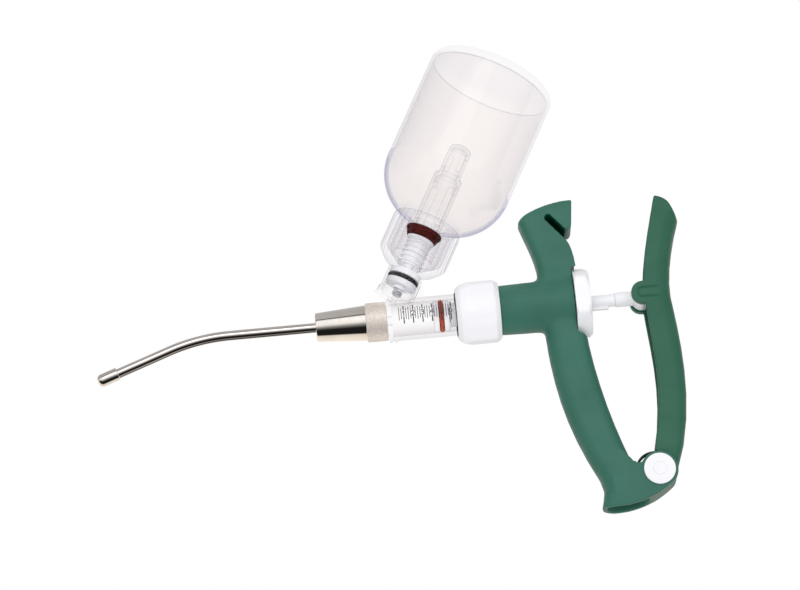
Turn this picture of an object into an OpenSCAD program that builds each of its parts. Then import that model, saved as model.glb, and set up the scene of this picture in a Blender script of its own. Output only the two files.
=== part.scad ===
/* [Fits] */
// Radial gap between fixed pieces that plug into each other
seat_gap = 0.1; // [0.05:0.05:0.3]
// Radial gap of pieces that turn or slide in a bore
running_gap = 0.06; // [0.02:0.01:0.1]
// Gap between faces of pieces that move past each other
face_gap = 0.4; // [0.3:0.05:0.6]

/* [Barrel] */
// Bore that the piston slides in
barrel_bore = 16.5; // [15:0.1:17.5]
// Wall of the clear barrel
barrel_wall = 2.15; // [1.8:0.05:2.6]
// Inside length from the front wall to the rear face
chamber_len = 41.7; // [40:0.1:46]
// Thickness of the wall that closes the front of the bore
front_wall = 2; // [1.6:0.1:2.6]
// Diameter of the rim round the front end
front_rim_d = 22.2; // [21.6:0.1:24]
// Length of each of the two ribs of the front rim
front_rib_len = 1.3; // [0.8:0.1:1.6]
// Diameter of the flange that the union nut clamps
rear_flange_d = 23.4; // [22.6:0.1:23.8]
// Thickness of the clamped flange
rear_flange_t = 3; // [2:0.1:4]
// Diameter of the threaded nipple that carries the nozzle
nipple_d = 15.4; // [14:0.1:16]
// Length of the nipple
nipple_len = 7.3; // [6:0.1:8]
// Hole through the nipple
outlet_bore = 5; // [4:0.1:6]

/* [Union nut] */
// Largest diameter of the nut
nut_d = 31.4; // [30:0.1:34]
// Length of the nut in front of the handle
nut_len = 21.8; // [20:0.1:24]
// Length of the cone at the nut's front
nut_cone_len = 6.4; // [4:0.1:6.6]
// Wall of the nut where the cone starts
nut_mouth_wall = 1.2; // [0.8:0.1:2]
// Chamfer at the nut's rear edge
nut_chamfer = 2.6; // [1:0.1:3]
// Number of shallow grip flats round the nut
nut_flats = 12; // [8:1:16]
// Depth of the grip flats
nut_flat_depth = 0.55; // [0.3:0.05:0.8]
// Width of the black seal in the nut's mouth
mouth_seal_w = 1.6; // [1:0.1:2]
// Radial thickness of the black seal
mouth_seal_t = 0.9; // [0.6:0.1:1]
// Thickness of the gasket behind the barrel
gasket_t = 1.5; // [1:0.1:2]

/* [Nozzle] */
// Diameter of the hub where the tube leaves it
hub_front_d = 14.4; // [12:0.1:16]
// Diameter of the hub's cone at the collar
hub_back_d = 17.9; // [17:0.1:19]
// Length of the polished cone
hub_len = 25.3; // [22:0.1:30]
// Diameter of the rough collar
collar_d = 19.6; // [18.6:0.1:21]
// Length of the rough collar
collar_len = 10.5; // [10:0.1:13]
// Thickness of the seal between nipple and hub
nozzle_seal_t = 1.5; // [1:0.1:2]
// Hole of that seal, which the outlet valve closes
seal_hole_d = 4.4; // [3.6:0.1:5]
// Diameter of the drench tube
tube_d = 4.8; // [4:0.1:5.6]
// Bore of the drench tube
tube_bore = 3; // [2.4:0.1:3.4]
// How deep the tube sits in the hub
tube_seat = 12; // [8:0.5:13]
// Straight run of the tube in front of the hub
tube_straight = 43.5; // [30:0.5:60]
// Radius of the tube's bend
tube_bend_r = 92; // [60:1:120]
// Angle of the tube's bend
tube_bend = 19.5; // [10:0.5:30]
// Straight run from the bend to the tip
tube_end = 35; // [24:0.5:44]
// Diameter of the bulb at the tip
tip_d = 6.5; // [6:0.1:8]
// Length of the bulb at the tip
tip_len = 11; // [9:0.1:14]

/* [Valves] */
// Diameter of the room for the outlet valve and its spring
valve_room_d = 8; // [7.6:0.1:9]
// Length of that room
valve_room_len = 10.5; // [9:0.1:11]
// Diameter of the valve discs
valve_disc_d = 6.4; // [6:0.1:7]
// Thickness of the valve discs
valve_disc_t = 1.6; // [1.2:0.1:2]
// How far a valve lifts off its seat
valve_lift = 1.2; // [0.8:0.1:1.5]
// Wire of the valve springs
valve_wire = 0.55; // [0.4:0.05:0.6]
// Mean diameter of the valve springs
valve_coil_d = 4.6; // [4:0.1:5]
// Turns of the outlet spring
outlet_turns = 5; // [3:1:5]
// Turns of the inlet spring
inlet_turns = 3; // [2:1:3]

/* [Bottle port] */
// Lean of the bottle towards the handle
port_lean = 28; // [24:0.5:30]
// How far the port's axis crosses the barrel's axis ahead of the front face
port_ahead = 1.8; // [1:0.1:3]
// Outside of the clear cup on the barrel
cup_d = 18.8; // [18.4:0.1:20]
// Bore of the cup
cup_bore = 16.4; // [16:0.1:17]
// Height of the cup's mouth along the port's axis
cup_top = 27.4; // [26:0.1:28.5]
// Height of the cup's floor along the port's axis
cup_floor = 14.5; // [14:0.1:15.5]
// Ring round the cup's foot
cup_ring_d = 20.6; // [20:0.1:22]
// Hole from the cup into the barrel
inlet_bore = 3.2; // [2.4:0.1:3.6]
// Distance of the web behind the cup from the port's foot
web_back = 20.8; // [18:0.1:22]
// Thickness of that web
web_t = 4; // [2.4:0.1:6]
// Diameter of the ribbed stem that plugs into the cup
stem_d = 11.4; // [11:0.1:12]
// Bore of the stem
stem_bore = 5; // [4.4:0.1:5.4]
// Lower end of the stem along the port's axis
stem_foot = 19.5; // [19:0.1:20.5]
// Thickness of the cord of the black sealing ring
oring_cord = 2.2; // [2:0.1:2.4]
// Diameter of the ribbed cap without its ribs
cap_d = 34.6; // [34:0.1:37]
// Wall of the ribbed cap
cap_wall = 2.4; // [2:0.1:3]
// Height of the cap from its cone to its rim
cap_h = 20.5; // [19:0.1:21]
// Height of the cone below the cap
cap_cone_h = 7.6; // [6:0.1:9]
// Number of grip ribs round the cap
cap_ribs = 30; // [18:1:36]
// Height of the grip ribs
cap_rib_h = 0.8; // [0.4:0.1:1]
// Thickness of the dark red seal
bung_t = 3.4; // [2.6:0.1:4]
// Height of the stem's top along the port's axis
stem_top = 48.2; // [47:0.1:49]
// Diameter of the lower part of the spike
spike_d = 15; // [14:0.1:15.6]
// Length of the lower part of the spike
spike_low = 31; // [26:0.5:36]
// Diameter of the upper part of the spike
spike_tip_d = 11.6; // [10:0.1:13]
// Length of the upper part of the spike
spike_high = 18; // [14:0.5:24]
// Wall of the spike
spike_wall = 1.5; // [1.2:0.1:2]

/* [Bottle] */
// Diameter of the bottle
bottle_d = 66; // [60:0.5:70]
// Wall of the bottle
bottle_wall = 1.5; // [1.2:0.1:2]
// Outside of the bottle's neck
neck_d = 24.6; // [24:0.1:26]
// Length of the neck inside the cap
neck_len = 19.6; // [18:0.1:21]
// Radius of the bottle's shoulder
shoulder_r = 28; // [26:0.5:28.5]
// Length of the straight side
bottle_side = 56; // [30:1:80]
// Radius of the edge round the bottle's base
base_edge_r = 5; // [3:0.5:8]

/* [Handle] */
// Diameter of the handle's tube at the nut
tube_front_d = 24.8; // [24.4:0.1:27]
// Diameter of the handle's tube at the knob
tube_back_d = 26.8; // [25:0.1:29]
// Length of the handle's tube
tube_len = 37; // [34:0.5:42]
// Diameter of the threaded spigot inside the nut
spigot_d = 23.4; // [22.6:0.1:23.8]
// Length of that spigot
spigot_len = 11; // [9:0.1:13]
// Thickness of the grip from side to side
grip_t = 18; // [16:0.5:22]
// Thickness of the hook from side to side
hook_t = 17; // [12:0.5:20]
// Height of the hook's top above the barrel's axis
hook_top = 52.5; // [48:0.5:56]
// Width of the slot under the hook
hook_slot = 3.4; // [2.8:0.1:4]
// Radius of the hook's round front edge
hook_edge_r = 5.5; // [3:0.1:6]
// Wall of the hollow grip
grip_wall = 2.6; // [2:0.1:3]
// Radius of the ears that hold the hinge
ear_r = 9.2; // [8.8:0.1:10]
// Radius of the arched underside of the foot
foot_arch_r = 45; // [44:0.5:50]

/* [Lever and hinge] */
// Hinge's place behind the front of the handle's tube
hinge_x = 69.2; // [66:0.1:72]
// Hinge's place below the barrel's axis
hinge_drop = 90.5; // [86:0.1:94]
// Diameter of the hinge pin
pin_d = 6; // [5:0.1:6.6]
// Diameter of the pin's head and of its cap
pin_head_d = 15.5; // [13:0.1:16.5]
// Thickness of the pin's head and of its cap
pin_head_t = 1.3; // [0.8:0.1:2]
// Width of the lever's lower end between the ears
knuckle_w = 12; // [11:0.1:12.4]
// Diameter of the lever's hub
hub_drum_d = 12.2; // [11:0.1:12.4]
// Width of the lever at the rod
lever_w = 20; // [18:0.5:24]
// Wall of the lever's sides
lever_side = 2.4; // [2:0.1:2.4]
// Wall of the lever's back
lever_back = 2.8; // [2.2:0.1:3.4]
// Front of the lever at the rod, behind the rod's pivot
lever_front_x = 0.6; // [0.4:0.1:1.2]
// Depth of the lever there
lever_depth = 13.6; // [12:0.1:15]
// How far that place lies below the barrel's axis
lever_waist_drop = 2; // [0:0.1:4]
// Depth of the lever's upper end
lever_top_depth = 13; // [11:0.1:15]
// Drop of the upper end from its front edge to its back edge
lever_top_drop = 9; // [7:0.1:11]
// How far the upper end's front edge lies behind the rod's pivot
lever_sweep = 13.2; // [11:0.1:15]
// Height of that edge above the barrel's axis, before it is rounded off
lever_top_z = 57; // [54:0.1:60]
// Height of the lever's upper end above the barrel's axis
lever_end_z = 50.4; // [46:0.1:53]
// Radius that rounds off the upper end
lever_end_r = 13.9; // [12:0.1:16]
// How far the lever's back bulges behind the hinge
lever_bulge = 23.4; // [21:0.1:25]
// Height of that bulge above the hinge
lever_bulge_z = 32.5; // [28:0.5:36]
// Radius of the ears that hold the rod
rod_ear_r = 5.8; // [5.6:0.1:7]
// Thickness of those ears
rod_ear_t = 3.6; // [3.4:0.1:4]
// Wire of the torsion spring
spring_wire = 1.2; // [0.8:0.05:1.3]
// Mean radius of the torsion spring's coil
spring_r = 9.2; // [8.8:0.1:9.4]
// Full turns of the torsion spring beside its half turn
spring_turns = 2; // [1:1:2]
// Step of the torsion spring from turn to turn
spring_step = 2.1; // [1.8:0.05:2.2]
// How far the coil lies in front of the hinge
coil_front = 1.6; // [1.2:0.1:1.8]
// How far the coil lies above the hinge
coil_lift = 1.2; // [0.9:0.1:1.4]
// Length of the spring's leg on the handle
handle_leg = 6.5; // [5:0.1:8]
// Length of the spring's leg on the lever
lever_leg = 14; // [11:0.1:16]
// How far that leg leans to the front
lever_leg_lean = 2; // [1.8:0.1:2.6]

/* [Plunger] */
// Travel of the piston when the lever is squeezed
stroke = 19.2; // [15:0.1:19.4]
// Gap left in front of the piston at the end of its travel
end_gap = 1.5; // [0.5:0.1:2]
// Length of the piston
piston_len = 8; // [7:0.1:9]
// Radial gap round the piston
piston_gap = 0.35; // [0.3:0.05:0.5]
// Thickness of the cord of the orange piston ring
piston_cord = 2.4; // [2:0.1:2.6]
// Diameter of the plunger rod
rod_d = 6.2; // [5.6:0.1:6.6]
// How deep the rod sits in the piston
rod_seat = 5; // [3:0.1:6]
// Depth of the rib under the rod
rod_rib = 1.3; // [0.8:0.1:1.5]
// Width of that rib
rod_rib_w = 2.4; // [1.6:0.1:3]
// Distance from the rod's seam to its pivot
rod_end_len = 13.7; // [12:0.1:16]
// Diameter of the rod end's neck
rod_neck_d = 7.3; // [6.6:0.1:8]
// Radius of the rod end's knuckle
rod_knuckle_r = 4.9; // [4.4:0.1:6.6]
// Place of the rod's pivot behind the front of the handle's tube
pivot_x = 71.2; // [70.5:0.1:73]
// Diameter of the pins on the rod end
trunnion_d = 5.2; // [4:0.1:5.6]
// Free play of those pins along the lever
trunnion_play = 2; // [1.8:0.1:2.4]

/* [Dose knob] */
// Diameter over the knob's corners
knob_d = 36.2; // [34:0.1:36.6]
// Distance of the knob's flats from its axis
knob_flat = 15.9; // [15:0.1:16.4]
// Number of the knob's flats
knob_flats = 6; // [5:1:8]
// Thickness of the knob
knob_t = 7.6; // [6:0.1:8]
// Chamfer of the knob's edges
knob_chamfer = 1; // [0.5:0.1:1.5]
// Turn of the flats round the axis
knob_turn = 0; // [0:1:60]
// Diameter of the stop sleeve inside the handle
sleeve_d = 12; // [11.6:0.1:12.4]
// Bore of the stop sleeve
sleeve_bore = 9.8; // [9.7:0.1:10]

/* [Frame] */
// Grip centre behind the front of the handle's tube
grip_x = 35.5; // [30:0.5:40]
// Grip centre below the barrel's axis
grip_drop = 50; // [45:0.5:60]

/* [Hidden] */

round_fn = 72;
over = 1;

// Stations along the barrel's axis, measured back from the front of the handle's tube
barrel_d = barrel_bore + 2 * barrel_wall;
barrel_rear = -spigot_len - gasket_t;
chamber_front = barrel_rear - chamber_len;
front_face = chamber_front - front_wall;
nipple_end = front_face - nipple_len;
collar_rear = front_face - face_gap;
collar_front = collar_rear - collar_len;
hub_front = collar_front - hub_len;
valve_seat = nipple_end - nozzle_seal_t;
valve_room_end = valve_seat - valve_room_len;
nut_front = -seat_gap - nut_len;
piston_front = chamber_front + end_gap + stroke;
piston_rear = piston_front + piston_len;
ring_x = piston_front + piston_len / 2;
sleeve_front = piston_rear + face_gap;
knob_front = tube_len + face_gap;
seam_x = pivot_x - rod_end_len;

// Heights along the port's axis, measured from the barrel's axis
port_x = front_face - port_ahead;
oring_s = stem_foot + 4.1;
cup_base = cup_floor - 2;
cap_foot = cup_top + 0.4;
cap_base = cap_foot + cap_cone_h;
cap_top = cap_base + cap_h;
cap_floor_low = cap_foot + 2.6;
cap_floor_high = cap_base + 2;
cap_floor_slope = (cap_floor_high - cap_floor_low) / (cap_d / 2 - cap_wall - stem_d / 2);
neck_foot = cap_floor_low + (neck_d / 2 - stem_d / 2) * cap_floor_slope + 0.35;
neck_top = neck_foot + neck_len;
bung_top = stem_top + bung_t;
bottle_r = bottle_d / 2;
shoulder_rise = sqrt(pow(shoulder_r, 2) - pow(neck_d / 2 - bottle_r + shoulder_r, 2));
side_foot = neck_top + shoulder_rise;
base_s = side_foot + bottle_side + base_edge_r;

// Points in the side view, as [x, z]
hinge = [hinge_x, -hinge_drop];
pivot = [pivot_x, 0];
coil_at = hinge + [-coil_front, coil_lift];
pocket_r = spring_r + spring_wire / 2 + 0.5;
pocket_w = knuckle_w + 2 * 0.2;
foot_arch_at = hinge + [-22.2, 28.5];

// Points of a cubic curve from a to d that leaves towards b and arrives from c
function curve(a, b, c, d, n) = [for (i = [0 : n]) let (t = i / n, s = 1 - t)
    s * s * s * a + 3 * s * s * t * b + 3 * s * t * t * c + t * t * t * d];

// Points of an arc round a centre
function arc(at, r, from, to, n) =
    [for (i = [0 : n]) let (a = from + (to - from) * i / n) at + r * [cos(a), sin(a)]];

// A quarter of a section's outline, round one corner
function corner(at, r, from, n) = [for (i = [0 : n]) let (a = from + 90 * i / n) at + r * [cos(a), sin(a)]];

// A rounded section that spans the line from front to back and the width w, as points in space
function section(front, back, w, front_r, back_r, n) = let (
    d = norm(back - front),
    u = (back - front) / d,
    flat = concat(
        corner([front_r, front_r - w / 2], front_r, 180, n),
        corner([d - back_r, back_r - w / 2], back_r, 270, n),
        corner([d - back_r, w / 2 - back_r], back_r, 0, n),
        corner([front_r, w / 2 - front_r], front_r, 90, n)))
    [for (p = flat) [front[0] + u[0] * p[0], -p[1], front[1] + u[1] * p[0]]];

// A skin through sections that all have the same number of points, closed at both ends
module skin(sections) {
    count = len(sections);
    m = len(sections[0]);
    sides = [for (j = [0 : count - 2]) for (i = [0 : m - 1]) let (k = (i + 1) % m)
        each [[j * m + i, (j + 1) * m + i, (j + 1) * m + k], [j * m + i, (j + 1) * m + k, j * m + k]]];
    first = [for (i = [1 : m - 2]) [0, i, i + 1]];
    last = [for (i = [1 : m - 2]) let (o = (count - 1) * m) [o, o + i + 1, o + i]];
    polyhedron([for (s = sections) each s], concat(sides, first, last), 4);
}

// A ring of points square to a path's direction
function ring_points(at, along, ref, r, n) = let (
    t = along / norm(along),
    u = cross(t, ref) / norm(cross(t, ref)),
    v = cross(t, u))
    [for (i = [0 : n - 1]) at + r * (cos(360 * i / n) * u + sin(360 * i / n) * v)];

// A wire of radius r along a path, with n sides
module wire(path, r, ref, n) {
    last = len(path) - 1;
    skin([for (i = [0 : last])
        ring_points(path[i], path[min(i + 1, last)] - path[max(i - 1, 0)], ref, r, n)]);
}

// Least clear gap between turns of a wire, with rings points to a turn
function least_gap(path, rings, r) = min([for (i = [0 : len(path) - 1])
    for (j = [i + rings / 2 : 1 : len(path) - 1]) norm(path[i] - path[j])]) - 2 * r;

// A plain compression coil along +Z
function coil(r, height, turns, rings) = [for (i = [0 : turns * rings])
    [r * cos(360 * i / rings), r * sin(360 * i / rings), height * i / (turns * rings)]];

// Moves the whole object so that the middle of the grip is the origin
module in_grip_frame() {
    translate([-grip_x, 0, grip_drop]) children();
}

// Turns +Z into +X, from a station on the barrel's axis
module along_x(x) {
    translate([x, 0, 0]) rotate([0, 90, 0]) children();
}

// Turns +Z into the port's axis
module along_port() {
    translate([port_x, 0, 0]) rotate([0, port_lean, 0]) children();
}

// A cylinder across the object, centred on the middle plane
module across(at, r, w) {
    translate([at[0], 0, at[1]]) rotate([90, 0, 0]) cylinder(r = r, h = w, center = true, $fn = round_fn);
}

// A side outline given as [x, z] points, extruded across the object
module slab(points, w) {
    translate([0, w / 2, 0]) rotate([90, 0, 0]) linear_extrude(w) polygon(points);
}

// A revolved outline of [radius, height] points
module turned(points) {
    rotate_extrude($fn = round_fn) polygon(points);
}

module ring_of(r, cord, s) {
    translate([0, 0, s]) rotate_extrude($fn = round_fn) translate([r, 0]) circle(d = cord, $fn = 32);
}

// Handle

grip_front = curve([20.8, -8], [21.8, -38], hinge + [-44, 28.5], hinge + [-29, -1.3], 8);
grip_back = curve([41, -4], [41.2, -30], hinge + [-21.7, 30.5], hinge + [-12.7, 5.5], 8);
foot_front = [hinge + [-27.6, -7], hinge + [-28.4, -11.5], hinge + [-29.6, -16], hinge + [-31, -20]];
foot_back = [hinge + [-10.2, -3], hinge + [-8.2, -9], hinge + [-6.2, -15], hinge + [-4.2, -21]];

module grip_shell() {
    front = concat(grip_front, foot_front);
    back = concat(grip_back, foot_back);
    skin([for (i = [0 : len(front) - 1])
        section(front[i], back[i], grip_t, grip_t / 2 - 1.4, grip_t / 2 - 3.2, 5)]);
}

// The hollow that the foot opens into
module grip_core() {
    inset = [grip_wall, 0];
    front = concat([for (i = [3 : 8]) grip_front[i]], foot_front);
    back = concat([for (i = [3 : 8]) grip_back[i]],
        [hinge + [-11.4, -3], hinge + [-6, -10.4], hinge + [-1, -15],
        hinge + [3, -21]]);
    w = grip_t - 2 * grip_wall;
    skin([for (i = [0 : len(front) - 1])
        section(front[i] + inset, back[i] - inset, w, w / 2 - 1.4, w / 2 - 2, 4)]);
}

// The hook's front edge, from above its tip down into the tube
hook_tip = [13.3, hook_top - 9];
hook_front = concat([hook_tip + [-0.4, 12]], curve(hook_tip, [16.4, 33], [21.4, 22], [20.1, 13], 8),
    [[20.6, 4]]);

module hook() {
    slot_dir = [cos(-51), sin(-51)];
    slot_up = hook_slot / 2 * [-slot_dir[1], slot_dir[0]];
    slot_at = [28.4, hook_top - 8.6];
    beak = [41.2, hook_top];
    lip = slot_at - slot_up + 14.4 * slot_dir;
    outline = concat([[16.5, 4.6], [16.5, 22], hook_tip - [3.2, 2.7]],
        curve(hook_tip + [0.3, 0.9], hook_tip + [5.2, 4.6], beak + [-13, -0.3], beak + [-0.6, 0], 10),
        [beak - [0.1, 0.6]],
        curve(beak + [-1.5, -13], beak + [-1.8, -15.7], slot_at + slot_up + 11.6 * slot_dir,
            slot_at + slot_up + 9.2 * slot_dir, 6),
        [for (i = [0 : 8]) slot_at + slot_up * cos(22.5 * i) - hook_slot / 2 * sin(22.5 * i) * slot_dir],
        curve(lip, lip + [2.2, -2.9], [39.7, 22.6], [39.8, 10], 8));
    intersection() {
        slab(outline, hook_t);
        skin([for (f = hook_front) section(f, [50, f[1]], hook_t + 1, hook_edge_r, 1, 5)]);
    }
}

module foot_ears() {
    crotch = hinge + [-10.4, 4.2];
    outline = concat(
        [hinge + [-18, 12], hinge + [-13.4, 7]],
        curve(hinge + [-13, 6.4], crotch + [-1.4, 0.2], crotch + [0.4, -0.3],
            hinge + ear_r * [cos(152), sin(152)], 6),
        arc(hinge, ear_r, 150, -40, 24),
        [hinge + [4, -18], hinge + [-20, -22], hinge + [-24, -4]]);
    slab(outline, grip_t);
}

module below_foot() {
    difference() {
        translate([hinge_x - 50, -25, -hinge_drop - 40]) cube([80, 50, 38]);
        across(foot_arch_at, foot_arch_r, 60);
    }
}

// Room for the lever's knuckle and the spring between the ears
module hinge_pocket() {
    across(coil_at, pocket_r, pocket_w);
    translate([hinge_x, -pocket_w / 2, -hinge_drop - 3.6]) cube([20, pocket_w, 20]);
    translate([coil_at[0] - pocket_r, -pocket_w / 2, coil_at[1]]) cube([pocket_r, pocket_w, 12]);
}

module handle_frame() {
    color("#2d6a4d") in_grip_frame() difference() {
        union() {
            along_x(0) cylinder(d1 = tube_front_d, d2 = tube_back_d, h = tube_len, $fn = round_fn);
            along_x(-spigot_len) cylinder(d = spigot_d, h = spigot_len + over, $fn = round_fn);
            hook();
            grip_shell();
            foot_ears();
        }
        along_x(tube_len) cylinder(d = knob_d + 4 * face_gap, h = 30, $fn = round_fn);
        along_x(-spigot_len - over) cylinder(d = sleeve_d + 2 * running_gap,
            h = tube_len + spigot_len + 2 * over, $fn = round_fn);
        grip_core();
        hinge_pocket();
        below_foot();
        across(hinge, pin_d / 2 + seat_gap / 2, grip_t + 2 * over);
    }
}

// Barrel and union nut

module union_nut() {
    r = nut_d / 2;
    mouth_r = barrel_d / 2 + seat_gap;
    seal_r = barrel_d / 2 + mouth_seal_t + seat_gap;
    room_r = max(spigot_d, rear_flange_d) / 2 + seat_gap;
    shoulder = spigot_len + gasket_t + rear_flange_t;
    color("white") in_grip_frame() difference() {
        along_x(nut_front) turned([[seal_r, 0], [seal_r + nut_mouth_wall, 0], [r, nut_cone_len],
            [r, nut_len - nut_chamfer], [r - nut_chamfer * 0.7, nut_len], [room_r, nut_len],
            [room_r, nut_len + seat_gap - shoulder], [mouth_r, nut_len + seat_gap - shoulder],
            [mouth_r, mouth_seal_w], [seal_r, mouth_seal_w]]);
        for (i = [0 : nut_flats - 1]) rotate([i * 360 / nut_flats, 0, 0])
            translate([nut_front + nut_cone_len + 0.4, -5, r - nut_flat_depth])
                cube([nut_len - nut_cone_len - nut_chamfer - 0.8, 10, over]);
    }
}

module mouth_seal() {
    color("#26262c") in_grip_frame() along_x(nut_front - mouth_seal_w / 2)
        difference() {
            cylinder(r = barrel_d / 2 + mouth_seal_t, h = mouth_seal_w * 1.5, $fn = round_fn);
            translate([0, 0, -over])
                cylinder(r = barrel_d / 2 + 0.02, h = mouth_seal_w * 1.5 + 2 * over, $fn = round_fn);
        }
}

module barrel() {
    r = barrel_d / 2;
    bore_r = barrel_bore / 2;
    color([0.85, 0.88, 0.9, 0.45]) in_grip_frame() difference() {
        union() {
            along_x(nipple_end) turned([[0, 0], [nipple_d / 2, 0], [nipple_d / 2, nipple_len],
                [front_rim_d / 2, nipple_len], [front_rim_d / 2, nipple_len + front_rib_len],
                [r, nipple_len + front_rib_len + 0.3], [r, nipple_len + 4 - front_rib_len - 0.3],
                [front_rim_d / 2, nipple_len + 4 - front_rib_len], [front_rim_d / 2, nipple_len + 4],
                [r, nipple_len + 4], [r, barrel_rear - rear_flange_t - nipple_end],
                [rear_flange_d / 2, barrel_rear - rear_flange_t - nipple_end],
                [rear_flange_d / 2, barrel_rear - nipple_end], [0, barrel_rear - nipple_end]]);
            along_port() translate([0, 0, cup_base])
                cylinder(d = cup_d, h = cup_top - cup_base, $fn = round_fn);
            along_port() translate([0, 0, cup_base]) cylinder(d = cup_ring_d, h = 3.4, $fn = round_fn);
            translate([front_face + 5.2, 0, bore_r - 2]) cylinder(d = 9, h = 6, $fn = 48);
            slab([[port_x + 8, 6], [port_x + 8, 16], [port_x + web_back - 3.4, cup_top * cos(port_lean) - 4],
                [port_x + web_back, cup_top * cos(port_lean) - 5], [port_x + web_back, 6]], web_t);
        }
        along_x(chamber_front) cylinder(r = bore_r, h = chamber_len + over, $fn = round_fn);
        along_x(nipple_end - over)
            cylinder(d = outlet_bore, h = chamber_front - nipple_end + 2 * over, $fn = 32);
        along_port() translate([0, 0, cup_floor]) cylinder(d = cup_bore, h = cup_top, $fn = round_fn);
        along_port() translate([0, 0, 8]) cylinder(d = inlet_bore, h = cup_floor, $fn = 32);
    }
}

module barrel_gasket() {
    color("#3a3a40") in_grip_frame() along_x(barrel_rear) difference() {
        cylinder(d = min(spigot_d, rear_flange_d), h = gasket_t, $fn = round_fn);
        translate([0, 0, -over]) cylinder(d = barrel_bore, h = gasket_t + 2 * over, $fn = round_fn);
    }
}

// Nozzle

module nozzle_hub() {
    room_r = nipple_d / 2 + seat_gap;
    color("#c9c4bb") in_grip_frame() difference() {
        union() {
            along_x(hub_front) turned([[0, 0], [hub_front_d / 2 - 0.5, 0], [hub_front_d / 2, 0.5],
                [hub_back_d / 2, hub_len], [collar_d / 2 - 0.3, hub_len], [collar_d / 2, hub_len + 0.3],
                [collar_d / 2, hub_len + collar_len - 0.3], [collar_d / 2 - 0.3, hub_len + collar_len],
                [0, hub_len + collar_len]]);
        }
        along_x(valve_seat) cylinder(r = room_r, h = collar_rear - valve_seat + over, $fn = round_fn);
        along_x(valve_room_end) cylinder(d = valve_room_d, h = valve_room_len + over, $fn = round_fn);
        along_x(hub_front + tube_seat - over)
            cylinder(d = tube_bore, h = valve_room_end - hub_front - tube_seat + 2 * over,
                $fn = 32);
        along_x(hub_front - over) cylinder(d = tube_d + seat_gap, h = tube_seat + over, $fn = 32);
    }
}

module nozzle_seal() {
    color("#3a3a40") in_grip_frame() along_x(valve_seat) difference() {
        cylinder(d = nipple_d, h = nozzle_seal_t, $fn = round_fn);
        translate([0, 0, -over]) cylinder(d = seal_hole_d, h = nozzle_seal_t + 2 * over, $fn = 32);
    }
}

// A disc with a short stem that centres its spring, its seat face at the height 0
module valve_body() {
    translate([0, 0, -valve_disc_t]) cylinder(d = valve_disc_d, h = valve_disc_t, $fn = 48);
    translate([0, 0, -valve_disc_t - 1.4]) cylinder(d = valve_coil_d - valve_wire - 0.8, h = 1.6, $fn = 32);
}

module outlet_valve() {
    color("#b5472c") in_grip_frame() along_x(valve_seat - seat_gap) valve_body();
}

module outlet_spring() {
    room = valve_seat - seat_gap - valve_disc_t - valve_room_end;
    path = coil(valve_coil_d / 2, room - 2 * valve_wire, outlet_turns, 8);
    echo(outlet_spring_gap = least_gap(path, 8, valve_wire / 2));
    color("silver") in_grip_frame() along_x(valve_room_end + valve_wire)
        wire(path, valve_wire / 2, [0, 0, 1], 6);
}

module inlet_valve() {
    color("#b5472c") in_grip_frame() along_port() translate([0, 0, stem_foot - seat_gap]) valve_body();
}

module inlet_spring() {
    room = stem_foot - seat_gap - valve_disc_t - cup_floor;
    path = coil(valve_coil_d / 2, room - 2 * valve_wire, inlet_turns, 8);
    echo(inlet_spring_gap = least_gap(path, 8, valve_wire / 2));
    color("silver") in_grip_frame() along_port() translate([0, 0, cup_floor + valve_wire])
        wire(path, valve_wire / 2, [0, 0, 1], 6);
}

// The tube's own path: straight, one bend downwards, straight
module tube_path_end() {
    translate([hub_front - tube_straight, 0, -tube_bend_r]) rotate([0, -tube_bend, 0])
        translate([0, 0, tube_bend_r]) rotate([0, -90, 0]) children();
}

// The tube's middle line, longer by extra at both ends
function tube_path(extra) = let (
    bend_at = [hub_front - tube_straight, 0, -tube_bend_r],
    bend = [for (i = [0 : 12]) let (a = tube_bend * i / 12)
        bend_at + tube_bend_r * [-sin(a), 0, cos(a)]],
    way = [-cos(tube_bend), 0, -sin(tube_bend)])
    concat([[hub_front + tube_seat - 0.2 + extra, 0, 0]], bend, [bend[12] + (tube_end + extra) * way]);

module drench_tube() {
    color("#cfcac2") in_grip_frame() difference() {
        wire(tube_path(0), tube_d / 2, [0, 1, 0], 28);
        wire(tube_path(over), tube_bore / 2, [0, 1, 0], 16);
    }
}

module drench_tip() {
    r = tip_d / 2;
    nose = 2.2;
    seat = tip_len - nose - 1.4;
    color("#cfcac2") in_grip_frame() tube_path_end() translate([0, 0, tube_end - seat]) turned(concat(
        [[tube_d / 2 + seat_gap / 2, 0], [r - 0.5, 0], [r, 0.5]],
        arc([r - nose, tip_len - nose], nose, 0, 70, 8),
        [[tube_bore / 2, tip_len - 0.1], [tube_bore / 2, seat], [tube_d / 2 + seat_gap / 2, seat]]));
}

// Bottle and its port

module bottle_adapter() {
    lip_r = cup_bore / 2 - 0.3;
    stem_r = stem_d / 2;
    groove = oring_cord / 2 + 0.15;
    r = cap_d / 2;
    color([0.86, 0.88, 0.92, 0.5]) in_grip_frame() along_port() {
        turned([[stem_bore / 2, stem_foot], [lip_r, stem_foot], [lip_r, oring_s - groove],
            [stem_r, oring_s - groove], [stem_r, oring_s + groove], [lip_r, oring_s + groove],
            [lip_r, cap_foot], [r, cap_base], [r, cap_top], [r - cap_wall, cap_top],
            [r - cap_wall, cap_floor_high],
            [stem_r, cap_floor_low], [stem_r, stem_top - 8], [stem_r + 0.8, stem_top - 8],
            [stem_r + 0.8, stem_top - 6.6], [stem_r, stem_top - 6.6], [stem_r, stem_top - 3],
            [stem_r + 1.4, stem_top], [stem_bore / 2, stem_top]]);
        for (i = [0 : cap_ribs - 1]) rotate([0, 0, i * 360 / cap_ribs])
            translate([r - 0.5, -0.7, cap_base + 0.6]) cube([cap_rib_h + 0.5, 1.4, cap_h - 2]);
    }
}

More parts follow.
